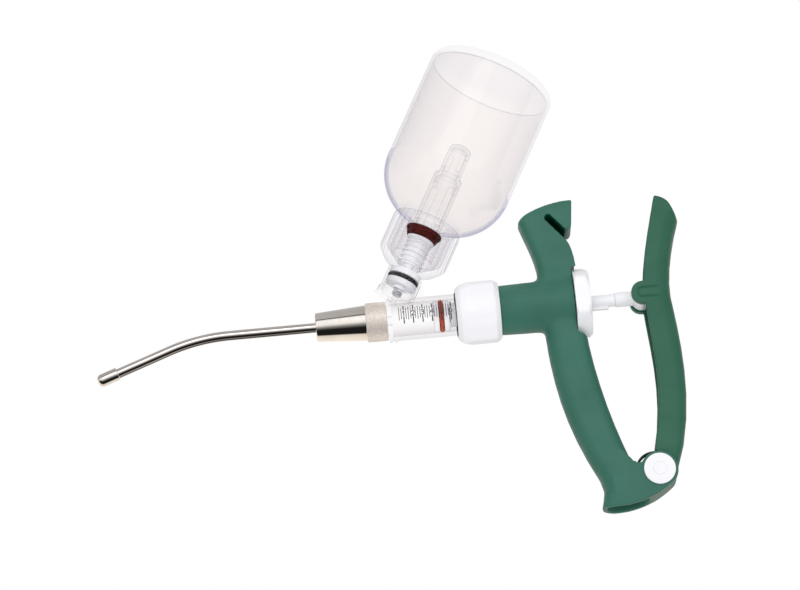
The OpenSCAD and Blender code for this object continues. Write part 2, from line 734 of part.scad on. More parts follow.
module port_oring() {
    color("#17171a") in_grip_frame() along_port()
        ring_of(cup_bore / 2 - seat_gap / 2 - oring_cord / 2, oring_cord, oring_s);
}

module neck_seal() {
    r = neck_d / 2 - bottle_wall - 0.9 - face_gap;
    color("#6b2018") in_grip_frame() along_port() turned([[stem_bore / 2, stem_top], [r - 1.2, stem_top],
        [r, stem_top + bung_t * 0.45], [r, bung_top], [stem_bore / 2, bung_top]]);
}

module draw_spike() {
    flange_r = spike_d / 2 + 0.9;
    low_top = bung_top + spike_low;
    tip_r = spike_tip_d / 2;
    high_top = low_top + spike_high;
    bore_low = spike_d / 2 - spike_wall;
    bore_high = tip_r - spike_wall;
    color([0.86, 0.88, 0.92, 0.5]) in_grip_frame() along_port() difference() {
        turned(concat([[stem_bore / 2, bung_top], [flange_r, bung_top], [flange_r, bung_top + 1.4],
            [spike_d / 2, bung_top + 1.8], [spike_d / 2, low_top], [tip_r, low_top + 1]],
            arc([tip_r - 3, high_top - 3], 3, 0, 90, 8),
            [[0, high_top], [0, high_top - spike_wall], [bore_high, high_top - spike_wall - 1],
                [bore_high, low_top], [bore_low, low_top - 2], [bore_low, bung_top + 1.4],
                [stem_bore / 2, bung_top + 1.4]]));
        for (i = [0 : 3]) rotate([0, 0, 45 + 90 * i]) {
            translate([0, -2, bung_top + 4]) cube([flange_r + over, 4, spike_low - 10]);
            translate([0, -1.5, low_top + 4]) cube([flange_r + over, 3, spike_high - 9]);
        }
    }
}

module bottle() {
    neck_r = neck_d / 2;
    start = asin((side_foot - neck_top) / shoulder_r);
    out = concat([[neck_r, neck_foot], [neck_r, neck_top - 0.01]],
        arc([bottle_r - shoulder_r, side_foot], shoulder_r, -start, 0, 16),
        [[bottle_r, side_foot + bottle_side]],
        arc([bottle_r - base_edge_r, side_foot + bottle_side], base_edge_r, 6, 90, 8));
    inner_r = shoulder_r - bottle_wall;
    bore_r = neck_r - bottle_wall - 0.9;
    inner_start = acos((bore_r - bottle_r + shoulder_r) / inner_r);
    inside = concat([[0, base_s - bottle_wall - 3], [bottle_r - base_edge_r - 8, base_s - bottle_wall - 3]],
        arc([bottle_r - base_edge_r, side_foot + bottle_side], base_edge_r - bottle_wall, 84, 0, 8),
        arc([bottle_r - shoulder_r, side_foot], inner_r, -6, -inner_start, 16),
        [[bore_r, neck_foot]]);
    color([0.9, 0.92, 0.95, 0.35]) in_grip_frame() along_port() union() {
        turned(concat(out, [[bottle_r - base_edge_r - 8, base_s - 3], [0, base_s - 3]], inside));
        for (i = [0 : 1]) translate([0, 0, neck_foot + 3 + 4 * i])
            turned([[neck_r - 0.4, 0], [neck_r + 0.9, 0.7],
            [neck_r + 0.9, 1.3], [neck_r - 0.4, 2]]);
    }
}

// Plunger

module piston() {
    r = barrel_bore / 2 - piston_gap;
    groove_r = barrel_bore / 2 - running_gap - piston_cord - 0.1;
    half = piston_cord / 2 + 0.1;
    color("#dfe3ea") in_grip_frame() along_x(piston_front) difference() {
        turned([[0, 0], [r - 1, 0], [r, 1], [r, piston_len / 2 - half], [groove_r, piston_len / 2 - half],
            [groove_r, piston_len / 2 + half], [r, piston_len / 2 + half], [r, piston_len - 0.6],
            [r - 0.6, piston_len], [0, piston_len]]);
        translate([0, 0, piston_len - rod_seat])
            cylinder(d = rod_d + seat_gap, h = rod_seat + over, $fn = 48);
    }
}

module piston_ring() {
    color("#c2452a") in_grip_frame() along_x(ring_x)
        ring_of(barrel_bore / 2 - running_gap - piston_cord / 2, piston_cord, 0);
}

module plunger_rod() {
    rib_front = piston_rear + 12;
    rib_end = seam_x - 3.5;
    color("white") in_grip_frame() {
        along_x(piston_rear - rod_seat) cylinder(d = rod_d, h = seam_x - piston_rear + rod_seat, $fn = 48);
        translate([rib_front, -rod_rib_w / 2, -rod_d / 2 - rod_rib])
            cube([rib_end - rib_front, rod_rib_w, rod_rib + rod_d / 2]);
    }
}

module rod_end() {
    w = lever_w - 2 * rod_ear_t - 2 * face_gap;
    color("white") in_grip_frame() {
        along_x(seam_x) cylinder(d = rod_neck_d, h = rod_end_len, $fn = 48);
        across(pivot, rod_knuckle_r, w);
        across(pivot, trunnion_d / 2, lever_w - 2 * 0.8 - 2 * face_gap);
    }
}

// Dose knob

module dose_knob() {
    color("white") in_grip_frame() along_x(knob_front) difference() {
        intersection() {
            turned([[0, 0], [knob_d / 2 - knob_chamfer, 0], [knob_d / 2, knob_chamfer],
                [knob_d / 2, knob_t - knob_chamfer], [knob_d / 2 - knob_chamfer, knob_t], [0, knob_t]]);
            rotate([0, 0, 180 / knob_flats + 90 + knob_turn])
                cylinder(r = knob_flat / cos(180 / knob_flats), h = knob_t, $fn = knob_flats);
        }
        translate([0, 0, -over]) cylinder(d = sleeve_d + seat_gap, h = knob_t - 1.5 + over, $fn = round_fn);
        translate([0, 0, -over]) cylinder(d = sleeve_bore, h = knob_t + 2 * over, $fn = round_fn);
    }
}

module stop_sleeve() {
    color("#e8e8ee") in_grip_frame() along_x(sleeve_front) difference() {
        cylinder(d = sleeve_d, h = knob_front + knob_t - 1.6 - sleeve_front, $fn = round_fn);
        translate([0, 0, -over]) cylinder(d = sleeve_bore, h = knob_front + knob_t + 2 * over - sleeve_front,
            $fn = round_fn);
    }
}

// Lever

lever_split = 6;
lever_waist = pivot + [lever_front_x, -lever_waist_drop];
lever_waist_back = lever_waist + [lever_depth, 0];
lever_top = pivot + [lever_sweep, lever_top_z];
lever_top_back = lever_top + [lever_top_depth, -lever_top_drop];
lever_front_edge = concat(
    curve(lever_top, lever_top + [-0.4394 * lever_sweep, -0.3333 * lever_top_z],
        lever_waist + [0.0606 * lever_sweep, 0.3158 * lever_top_z], lever_waist, lever_split),
    curve(lever_waist, lever_waist - [0, 0.1989 * hinge_drop], hinge + hinge_drop * [0.0917, 0.4696],
        hinge + ear_r * [-0.1087, 1.1413], 8));
lever_back_edge = concat(
    curve(lever_top_back, lever_top_back + [-0.5606 * lever_sweep, -0.3158 * lever_top_z],
        lever_waist_back + [-0.0455 * lever_sweep, 0.2456 * lever_top_z], lever_waist_back, lever_split),
    curve(lever_waist_back, lever_waist_back + hinge_drop * [0.0166, -0.1768],
        hinge + [lever_bulge, lever_bulge_z], hinge + [ear_r, 0], 8));

// The lever narrows from the rod down to the hinge
function lever_width(z) = z > -8 ? lever_w : max(knuckle_w, lever_w - (lever_w - knuckle_w) * (-8 - z) / 62);

module lever_skin() {
    skin([for (i = [0 : len(lever_front_edge) - 1]) if (i != lever_split)
        let (w = lever_width(lever_front_edge[i][1]))
            section(lever_front_edge[i], lever_back_edge[i], w, 0.7, min(4.6, w / 2 - 1), 4)]);
}

module lever_channel() {
    skin([for (i = [2 : len(lever_front_edge) - 1]) if (i != lever_split)
        let (f = lever_front_edge[i], b = lever_back_edge[i], u = (b - f) / norm(b - f),
            w = lever_width(f[1]) - 2 * lever_side)
            section(f - 4 * u, b - lever_back * u, w, 0.7, min(2.6, w / 2 - 1), 4)]);
}

// Rounds off the lever's top end
module above_lever() {
    at = pivot + [0.6288 * lever_sweep, lever_end_z - lever_end_r];
    difference() {
        translate([pivot_x - 2, -lever_w, at[1]]) cube([3 * lever_end_r, 2 * lever_w, 3 * lever_end_r]);
        across(at, lever_end_r, 3 * lever_w);
    }
}

// A slot's outline along +X, from a round end at the origin
module round_slot(r, l) {
    circle(r = r, $fn = 48);
    translate([0, -r]) square([l, 2 * r]);
}

module rod_ears() {
    for (side = [-1, 1]) translate([0, side * (lever_w - rod_ear_t) / 2, 0]) {
        across(pivot, rod_ear_r, rod_ear_t);
        translate([pivot_x, -rod_ear_t / 2, -rod_ear_r]) cube([7, rod_ear_t, 2 * rod_ear_r]);
    }
}

// Blind pockets for the pins of the rod end, long enough for their play along the lever
module trunnion_pockets() {
    r = trunnion_d / 2 + 0.3;
    w = lever_w - 2 * 0.8;
    across(pivot, r, w);
    across(pivot + [0, trunnion_play], r, w);
    translate([pivot_x - r, -w / 2, 0]) cube([2 * r, w, trunnion_play]);
}

module ear_grooves() {
    depth = 0.5;
    for (side = [-1, 1]) translate([pivot_x, side * (lever_w / 2 - depth / 2), 0]) rotate([90, 0, 0])
        translate([0, 0, -depth / 2 - (side > 0 ? over : 0)]) linear_extrude(depth + over) difference() {
            round_slot(2.9, 11);
            translate([0, 0]) round_slot(2, 12);
        }
}

module lever() {
    color("#2d6a4d") in_grip_frame() difference() {
        union() {
            difference() {
                lever_skin();
                lever_channel();
                above_lever();
                across(coil_at, pocket_r, knuckle_w - 2 * lever_side + 0.3);
            }
            rod_ears();
            across(hinge, hub_drum_d / 2, knuckle_w);
            for (side = [-1, 1]) translate([0, side * (knuckle_w - lever_side) / 2, 0])
                across(hinge, 7.8, lever_side);
        }
        trunnion_pockets();
        ear_grooves();
        across(hinge, pin_d / 2 + running_gap, knuckle_w + 2 * over);
    }
}

// Hinge

module hinge_pin() {
    color("white") in_grip_frame() {
        translate([0, -(grip_t + pin_head_t) / 2, 0]) difference() {
            across(hinge, pin_head_d / 2, pin_head_t);
            translate([0, -pin_head_t / 2, 0]) difference() {
                across(hinge, 3.4, 0.3);
                across(hinge, 3, 0.3);
            }
        }
        translate([0, pin_head_t / 4, 0]) across(hinge, pin_d / 2, grip_t + pin_head_t / 2);
    }
}

module hinge_cap() {
    color("white") in_grip_frame() translate([0, (grip_t + pin_head_t) / 2, 0]) difference() {
        across(hinge, pin_head_d / 2, pin_head_t);
        translate([0, -pin_head_t / 2, 0]) across(hinge, pin_d / 2 + seat_gap / 2, pin_head_t + 0.02);
    }
}

module torsion_spring() {
    rings = 24;
    turn = 360 * spring_turns + 180;
    steps = spring_turns * rings + rings / 2;
    half = spring_step * turn / 360 / 2;
    coil_path = [for (i = [0 : steps]) let (a = 180 + turn * i / steps)
        [coil_at[0] + spring_r * cos(a), half - 2 * half * i / steps, coil_at[1] + spring_r * sin(a)]];
    first = [coil_at[0] - spring_r, half, coil_at[1]];
    last = [coil_at[0] + spring_r, -half, coil_at[1]];
    path = concat([first + [0, 0, handle_leg], first + [0, 0, spring_wire]], coil_path,
        [last + [-0.1, 0, spring_wire], last + [-lever_leg_lean, 0, lever_leg]]);
    echo(torsion_spring_gap = least_gap(path, rings, spring_wire / 2));
    color("#1c1c1e") in_grip_frame() wire(path, spring_wire / 2, [0, 1, 0], 6);
}

handle_frame();
union_nut();
mouth_seal();
barrel();
barrel_gasket();
nozzle_hub();
nozzle_seal();
outlet_valve();
outlet_spring();
drench_tube();
drench_tip();
bottle_adapter();
port_oring();
inlet_valve();
inlet_spring();
neck_seal();
draw_spike();
bottle();
piston();
piston_ring();
plunger_rod();
rod_end();
dose_knob();
stop_sleeve();
lever();
hinge_pin();
hinge_cap();
torsion_spring();
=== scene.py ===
"""Looks of a bottle-fed drenching syringe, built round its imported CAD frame.

Lengths are in mm, and places are counted from the front of the handle's tube: x runs back along the
barrel, y away from the viewer and z up. place() turns them into the frame's metres.
"""

import math

import bpy
import bmesh
from mathutils import Matrix, Vector


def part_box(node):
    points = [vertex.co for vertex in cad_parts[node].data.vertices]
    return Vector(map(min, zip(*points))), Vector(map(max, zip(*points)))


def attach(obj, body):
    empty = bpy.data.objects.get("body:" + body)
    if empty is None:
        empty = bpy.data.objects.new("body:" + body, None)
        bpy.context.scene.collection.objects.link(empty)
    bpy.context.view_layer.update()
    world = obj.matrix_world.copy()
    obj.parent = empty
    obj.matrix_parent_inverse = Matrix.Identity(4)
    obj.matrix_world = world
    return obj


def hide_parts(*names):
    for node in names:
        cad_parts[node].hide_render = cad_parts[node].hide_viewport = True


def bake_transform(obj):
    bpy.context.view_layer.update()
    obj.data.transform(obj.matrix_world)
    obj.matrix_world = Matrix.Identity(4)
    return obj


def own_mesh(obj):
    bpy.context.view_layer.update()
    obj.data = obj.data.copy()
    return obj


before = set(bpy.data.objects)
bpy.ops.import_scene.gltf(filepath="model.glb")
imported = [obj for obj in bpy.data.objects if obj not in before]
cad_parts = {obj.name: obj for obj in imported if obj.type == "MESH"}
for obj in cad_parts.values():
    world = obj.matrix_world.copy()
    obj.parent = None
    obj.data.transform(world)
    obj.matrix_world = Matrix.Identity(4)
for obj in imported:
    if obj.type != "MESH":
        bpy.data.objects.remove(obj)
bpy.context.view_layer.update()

# Places and main sizes

GRIP = (35.5, 0.0, -50.0)
BARREL_R = 10.4
PORT_X = -58.0
PORT_LEAN = math.radians(28)
HUB_FRONT = -92.4
TUBE_START = HUB_FRONT + 11.8
BEND_X = HUB_FRONT - 43.5
BEND_R = 92.0
BEND = math.radians(19.5)
END_RUN = 35
TUBE_R = 2.4
TUBE_BORE = 1.5
HINGE = (69.2, -90.5)
AXIS_R = 0.02


def place(x, y, z):
    """A point given in mm from the front of the handle's tube, in metres from the grip."""
    return Vector(((x - GRIP[0]) / 1000, (y - GRIP[1]) / 1000, (z - GRIP[2]) / 1000))


def round_barrel(s, r, a):
    """Turns about the barrel's axis; angle 0 is the near side and a quarter turn is the top."""
    return place(s, -r * math.cos(a), r * math.sin(a))


def round_port(s, r, a):
    """Turns about the leaning axis of the bottle."""
    out = r * math.sin(a)
    return place(PORT_X + s * math.sin(PORT_LEAN) + out * math.cos(PORT_LEAN), -r * math.cos(a),
                 s * math.cos(PORT_LEAN) - out * math.sin(PORT_LEAN))


def round_tip(s, r, a):
    """Turns about the tube's end run; s counts from the end of the bend."""
    x = BEND_X - BEND_R * math.sin(BEND) - s * math.cos(BEND)
    z = BEND_R * (math.cos(BEND) - 1) - s * math.sin(BEND)
    up = r * math.sin(a)
    return place(x - up * math.sin(BEND), -r * math.cos(a), z + up * math.cos(BEND))


def round_hinge(s, r, a):
    """Turns about the hinge; s runs away from the viewer."""
    return place(HINGE[0] + r * math.cos(a), s, HINGE[1] + r * math.sin(a))


# Shapes

def arc(s, r, radius, angles):
    """Profile points on a circle about (s, r); angle 0 points away from the axis."""
    return [(s + radius * math.sin(a), r + radius * math.cos(a)) for a in angles]


def cord_section(s, r, radius, count=20):
    """The round section of a rubber ring."""
    return arc(s, r, radius, [2 * math.pi * i / count for i in range(count)])


def soften(points, steps=4, closed=True):
    """Rounds the corners of a profile; a point is (s, r) or (s, r, radius)."""
    longest_share = 0.49
    out = []
    count = len(points)
    for i, p in enumerate(points):
        here = Vector(p[:2])
        radius = p[2] if len(p) > 2 else 0
        if radius <= 0 or (not closed and i in (0, count - 1)):
            out.append(here)
            continue
        back = Vector(points[i - 1][:2]) - here
        ahead = Vector(points[(i + 1) % count][:2]) - here
        half = back.angle(ahead) / 2
        reach = min(radius / math.tan(half), longest_share * back.length, longest_share * ahead.length)
        middle = here + (back.normalized() + ahead.normalized()).normalized() * reach / math.cos(half)
        first = here + back.normalized() * reach - middle
        last = here + ahead.normalized() * reach - middle
        turn = first.angle_signed(last)
        for k in range(steps + 1):
            spun = first.copy()
            spun.rotate(Matrix.Rotation(-turn * k / steps, 2))
            out.append(middle + spun)
    return out


def add_object(name, data):
    obj = bpy.data.objects.new(name, data)
    bpy.context.scene.collection.objects.link(obj)
    return obj


def smooth(mesh, sharp_angle):
    """Shades a mesh smooth, apart from edges that turn by more than the angle."""
    mesh.shade_smooth()
    mesh.set_sharp_from_angle(angle=math.radians(sharp_angle))


def add_mesh(name, verts, faces):
    mesh = bpy.data.meshes.new(name)
    mesh.from_pydata(verts, [], faces)
    bm = bmesh.new()
    bm.from_mesh(mesh)
    bmesh.ops.remove_doubles(bm, verts=bm.verts, dist=1e-7)
    bmesh.ops.recalc_face_normals(bm, faces=bm.faces)
    bm.to_mesh(mesh)
    bm.free()
    smooth(mesh, 40)
    return add_object(name, mesh)


def lathe(name, axis, profile, segs=96, shape=None, closed=True):
    """Turns a profile of (s, r) points about an axis; shape may change r by angle.

    A profile that isn't closed starts and ends at the axis.
    """
    verts, faces = [], []
    rows = len(profile)
    for s, r in profile:
        for k in range(segs):
            a = 2 * math.pi * k / segs
            verts.append(axis(s, shape(r, a) if shape else r, a))
    for i in range(rows if closed else rows - 1):
        j = (i + 1) % rows
        for k in range(segs):
            n = (k + 1) % segs
            faces.append((i * segs + k, i * segs + n, j * segs + n, j * segs + k))
    if not closed:
        faces.append(tuple(reversed(range(segs))))
        faces.append(tuple(range((rows - 1) * segs, rows * segs)))
    return add_mesh(name, verts, faces)


def sweep(name, path, radius, sides, bore=0.0):
    """A round tube or wire along a path of points."""
    verts, faces = [], []
    side = Vector((0, 1, 0))
    last = len(path) - 1
    for i, p in enumerate(path):
        ahead = (path[min(i + 1, last)] - path[max(i - 1, 0)]).normalized()
        side = (side - ahead * side.dot(ahead)).normalized()
        other = ahead.cross(side)
        for r in (radius, bore):
            for k in range(sides):
                a = 2 * math.pi * k / sides
                verts.append(p + (side * math.cos(a) + other * math.sin(a)) * r / 1000)
    for i in range(last):
        row, up = 2 * i * sides, 2 * (i + 1) * sides
        for k in range(sides):
            n = (k + 1) % sides
            faces.append((row + k, row + n, up + n, up + k))
            if bore:
                faces.append((row + sides + n, row + sides + k, up + sides + k, up + sides + n))
    for row in (0, 2 * last * sides):
        for k in range(sides):
            n = (k + 1) % sides
            faces.append((row + k, row + n, row + sides + n, row + sides + k))
    return add_mesh(name, verts, faces)


def apply_modifiers(obj):
    deps = bpy.context.evaluated_depsgraph_get()
    mesh = bpy.data.meshes.new_from_object(obj.evaluated_get(deps))
    obj.modifiers.clear()
    obj.data = mesh


def eased(t):
    """Runs smoothly from 0 to 1 as t does."""
    t = max(0.0, min(1.0, t))
    return t * t * (3 - 2 * t)


def fill_corner(bm, inside, rounds):
    """Smooths the surface where inside(x, y, z) holds, which leaves a fillet there."""
    picked = [v for v in bm.verts if inside(*((v.co * 1000)[i] + GRIP[i] for i in range(3)))]
    for _ in range(rounds):
        bmesh.ops.smooth_vert(bm, verts=picked, factor=0.5, use_axis_x=True, use_axis_y=True, use_axis_z=True)


def round_rear(bm, bulge, half_width, reach, lowest, highest):
    """Rounds the rear side off to its edges between two heights, and fades out over reach."""
    bands_per_metre = 500
    fade = 12
    rear = {}
    for v in bm.verts:
        band = round(v.co.z * bands_per_metre)
        rear[band] = max(rear.get(band, v.co.x), v.co.x)
    for v in bm.verts:
        drop = 1 - math.sqrt(max(0.0, 1 - (v.co.y * 1000 / half_width) ** 2))
        near = eased(1 - (rear[round(v.co.z * bands_per_metre)] - v.co.x) * 1000 / reach)
        height = v.co.z * 1000 + GRIP[2]
        ends = eased((height - lowest) / fade) * eased((highest - height) / fade)
        v.co.x -= bulge / 1000 * drop * near * ends


def moulded(node, name, voxel, passes, share, fillets=(), rear=None):
    """A moulded copy of a CAD node, with rounded edges, fillets and, where given, a rounded rear side."""
    obj = add_object(name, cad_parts[node].data.copy())
    weld = obj.modifiers.new("weld", "WELD")
    weld.merge_threshold = 1e-6
    remesh = obj.modifiers.new("remesh", "REMESH")
    remesh.mode = "VOXEL"
    remesh.voxel_size = voxel / 1000
    ease = obj.modifiers.new("ease", "SMOOTH")
    ease.factor = 0.5
    ease.iterations = passes
    apply_modifiers(obj)
    bm = bmesh.new()
    bm.from_mesh(obj.data)
    for inside, rounds in fillets:
        fill_corner(bm, inside, rounds)
    if rear:
        round_rear(bm, **rear)
    bm.to_mesh(obj.data)
    bm.free()
    thin = obj.modifiers.new("thin", "DECIMATE")
    thin.ratio = share
    apply_modifiers(obj)
    obj.data.shade_smooth()
    return obj


def dress(obj, material, body, node):
    """Gives a piece its finish, and puts it on its body in place of a CAD node."""
    obj.data.materials.clear()
    obj.data.materials.append(material)
    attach(obj, body)
    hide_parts(node)
    return obj


def paint(node, material):
    """Gives a CAD node its finish and smooth curved faces."""
    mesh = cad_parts[node].data
    mesh.materials.clear()
    mesh.materials.append(material)
    smooth(mesh, 35)


# Shader nodes

def tone(r, g, b):
    """A colour as seen, in linear light."""
    def one(c):
        c /= 255
        return c / 12.92 if c <= 0.04045 else ((c + 0.055) / 1.055) ** 2.4
    return (one(r), one(g), one(b), 1)


def feed(tree, socket, value):
    """Sets a socket to a plain value, or links it to another."""
    if isinstance(value, (int, float, tuple)):
        socket.default_value = value
    else:
        tree.links.new(value, socket)


def noise(tree, vector, scale, detail=2.0, rough=0.5):
    node = tree.nodes.new("ShaderNodeTexNoise")
    for label, value in (("Vector", vector), ("Scale", scale), ("Detail", detail), ("Roughness", rough)):
        feed(tree, node.inputs[label], value)
    return node.outputs["Fac"]


def remap(tree, value, low, high, to_low, to_high):
    node = tree.nodes.new("ShaderNodeMapRange")
    node.inputs["From Min"].default_value = low
    node.inputs["From Max"].default_value = high
    node.inputs["To Min"].default_value = to_low
    node.inputs["To Max"].default_value = to_high
    tree.links.new(value, node.inputs["Value"])
    return node.outputs["Result"]


def maths(tree, kind, a, b):
    node = tree.nodes.new("ShaderNodeMath")
    node.operation = kind
    feed(tree, node.inputs[0], a)
    feed(tree, node.inputs[1], b)
    return node.outputs[0]


def stretched(tree, vector, size):
    node = tree.nodes.new("ShaderNodeMapping")
    node.inputs["Scale"].default_value = size
    tree.links.new(vector, node.inputs["Vector"])
    return node.outputs["Vector"]


def layered(tree, factor, under, over):
    """One colour over another, as far as the factor says."""
    node = tree.nodes.new("ShaderNodeMix")
    node.data_type = "RGBA"
    tree.links.new(factor, node.inputs["Factor"])
    feed(tree, node.inputs["A"], under)
    feed(tree, node.inputs["B"], over)
    return node.outputs["Result"]


def facing_up(tree, low, high):
    """0 where a surface faces down past low, 1 where it faces up past high."""
    parts = tree.nodes.new("ShaderNodeSeparateXYZ")
    geometry = tree.nodes.new("ShaderNodeNewGeometry")
    tree.links.new(geometry.outputs["Normal"], parts.inputs["Vector"])
    return remap(tree, parts.outputs["Z"], low, high, 0, 1)


def bump(tree, shader, height, strength, distance):
    node = tree.nodes.new("ShaderNodeBump")
    node.inputs["Strength"].default_value = strength
    node.inputs["Distance"].default_value = distance
    tree.links.new(height, node.inputs["Height"])
    tree.links.new(node.outputs["Normal"], shader.inputs["Normal"])


def see_through(tree, shader, factor):
    """Lets light pass the surface as if it weren't there, as far as the factor says."""
    clear = tree.nodes.new("ShaderNodeBsdfTransparent")
    mix = tree.nodes.new("ShaderNodeMixShader")
    tree.links.new(factor, mix.inputs["Fac"])
    tree.links.new(shader.outputs["BSDF"], mix.inputs[1])
    tree.links.new(clear.outputs["BSDF"], mix.inputs[2])
    tree.links.new(mix.outputs["Shader"], tree.nodes["Material Output"].inputs["Surface"])


# Shared effects

def new_group(name, inputs, outputs):
    group = bpy.data.node_groups.new(name, "ShaderNodeTree")
    for label, value in inputs:
        socket = group.interface.new_socket(label, in_out="INPUT", socket_type="NodeSocketFloat")
        socket.default_value = value
    for label in outputs:
        group.interface.new_socket(label, in_out="OUTPUT", socket_type="NodeSocketFloat")
    return group, group.nodes.new("NodeGroupInput"), group.nodes.new("NodeGroupOutput")


def make_mould_skin():
    """Fine grain and slow shade changes of a moulded surface."""
    group, inp, out = new_group("mould_skin", [("Grain", 2600.0), ("Cloud", 45.0)], ["Height", "Shade", "Smudge"])
    where = group.nodes.new("ShaderNodeTexCoord").outputs["Object"]
    fine = noise(group, where, inp.outputs["Grain"], 3)
    slow = noise(group, where, inp.outputs["Cloud"])
    rubbed = noise(group, stretched(group, where, (60, 60, 240)), 1.0, 4, 0.62)
    group.links.new(fine, out.inputs["Height"])
    group.links.new(remap(group, slow, 0.3, 0.7, 0, 1), out.inputs["Shade"])
    group.links.new(remap(group, rubbed, 0.42, 0.68, 0, 1), out.inputs["Smudge"])
    return group


def make_turned_lines():
    """Fine lathe lines along the barrel's axis, with a slow stain."""
    group, inp, out = new_group("turned_lines", [("Lines", 9000.0)], ["Height", "Shade", "Stain"])
    where = group.nodes.new("ShaderNodeTexCoord").outputs["Object"]
    lines = noise(group, stretched(group, where, (1, 0.01, 0.01)), inp.outputs["Lines"])
    slow = noise(group, where, 90, 3)
    group.links.new(lines, out.inputs["Height"])
    group.links.new(remap(group, lines, 0.3, 0.7, 0, 1), out.inputs["Shade"])
    group.links.new(remap(group, slow, 0.35, 0.7, 0, 1), out.inputs["Stain"])
    return group


MOULD_SKIN = make_mould_skin()
TURNED_LINES = make_turned_lines()


def use_group(tree, group, **values):
    node = tree.nodes.new("ShaderNodeGroup")
    node.node_tree = group
    for label, value in values.items():
        node.inputs[label].default_value = value
    return node.outputs


# Finishes

def new_material(name):
    mat = bpy.data.materials.new(name)
    mat.use_nodes = True
    tree = mat.node_tree
    return mat, tree, tree.nodes["Principled BSDF"]


def moulded_finish(name, first, second, rough, grain, strength, cloud=45.0, gloss=0.5, metallic=0.0):
    """A grained surface in two close tones."""
    mat, tree, shader = new_material(name)
    skin = use_group(tree, MOULD_SKIN, Grain=grain, Cloud=cloud)
    tree.links.new(layered(tree, skin["Shade"], first, second), shader.inputs["Base Color"])
    tree.links.new(remap(tree, skin["Smudge"], 0, 1, *rough), shader.inputs["Roughness"])
    shader.inputs["Specular IOR Level"].default_value = gloss
    shader.inputs["Metallic"].default_value = metallic
    bump(tree, shader, skin["Height"], strength, 0.0001)
    return mat


def metal_finish(name, first, second, rough, lines=9000.0, under=None):
    """Turned or drawn metal; under is a painted dark reflection on its lower side, a darker colour where the
    surface faces down.
    """
    mat, tree, shader = new_material(name)
    turned = use_group(tree, TURNED_LINES, Lines=lines)
    colour = layered(tree, turned["Stain"], first, second)
    if under:
        # Painted dark reflection where the surface faces down.
        colour = layered(tree, facing_up(tree, -0.92, -0.74), under, colour)
    tree.links.new(colour, shader.inputs["Base Color"])
    tree.links.new(remap(tree, turned["Shade"], 0, 1, *rough), shader.inputs["Roughness"])
    shader.inputs["Metallic"].default_value = 1
    bump(tree, shader, turned["Height"], 0.1, 0.00005)
    return mat


def clear_finish(name, first, edge, ior, edge_at, coat, rough=(0.0, 0.0035), edge_span=(0.0, 1.0), through=1.0,
                 top=None, painted_shade_top_edge=None):
    """Clear plastic: lets light through to what it holds, and shows a little darker where it is seen edge on.

    The top colours are painted shade: greyer tints where the surface faces up, in place of the darker room seen
    through it.
    """
    mat, tree, shader = new_material(name)
    skin = use_group(tree, MOULD_SKIN, Grain=500, Cloud=60)
    rim = tree.nodes.new("ShaderNodeLayerWeight")
    rim.inputs["Blend"].default_value = edge_at
    edge_on = remap(tree, rim.outputs["Facing"], *edge_span, 0, 1)
    # Painted shade on the upward-facing side.
    if top:
        upper = facing_up(tree, -0.2, 0.5)
        first = layered(tree, upper, first, top)
        edge = layered(tree, upper, edge, painted_shade_top_edge)
    tree.links.new(layered(tree, edge_on, first, edge), shader.inputs["Base Color"])
    tree.links.new(remap(tree, skin["Smudge"], 0, 1, *rough), shader.inputs["Roughness"])
    shader.inputs["Transmission Weight"].default_value = through
    shader.inputs["IOR"].default_value = ior
    shader.inputs["Coat Weight"].default_value = coat
    shader.inputs["Coat Roughness"].default_value = 0.06
    bump(tree, shader, skin["Shade"], 0.04, 0.0004)
    path = tree.nodes.new("ShaderNodeLightPath").outputs
    see_through(tree, shader, maths(tree, "MAXIMUM", path["Is Shadow Ray"], path["Is Diffuse Ray"]))
    return mat


green = moulded_finish("green_moulding", tone(55, 112, 96), tone(50, 105, 90), (0.42, 0.55),
                       grain=2400, strength=0.16, gloss=0.3)
# Painted shade: a darker green for the walls inside the hook's slot, in place of the shade there.
slot_painted_shade = moulded_finish("slot_painted_shade_moulding", tone(18, 76, 58), tone(14, 66, 50), (0.5, 0.6),
                            grain=2400, strength=0.16, gloss=0.0)
lever_green = moulded_finish("lever_moulding", tone(42, 102, 78), tone(37, 95, 72), (0.40, 0.54),
                             grain=2400, strength=0.16, gloss=0.35)
white = moulded_finish("white_moulding", tone(246, 246, 249), tone(242, 242, 247), (0.28, 0.42),
                       grain=3000, strength=0.05)
black_seal = moulded_finish("black_seal", tone(20, 20, 24), tone(30, 30, 34), (0.45, 0.62),
                            grain=3500, strength=0.2)
red_seal = moulded_finish("red_seal", tone(70, 12, 7), tone(58, 9, 5), (0.45, 0.6),
                          grain=3500, strength=0.2, gloss=0.15)
orange_seal = moulded_finish("orange_seal", tone(184, 70, 38), tone(166, 58, 30), (0.35, 0.5),
                             grain=3500, strength=0.15)
ink = moulded_finish("scale_ink", tone(44, 44, 50), tone(74, 74, 80), (0.5, 0.65),
                     grain=5000, strength=0.1, cloud=900)
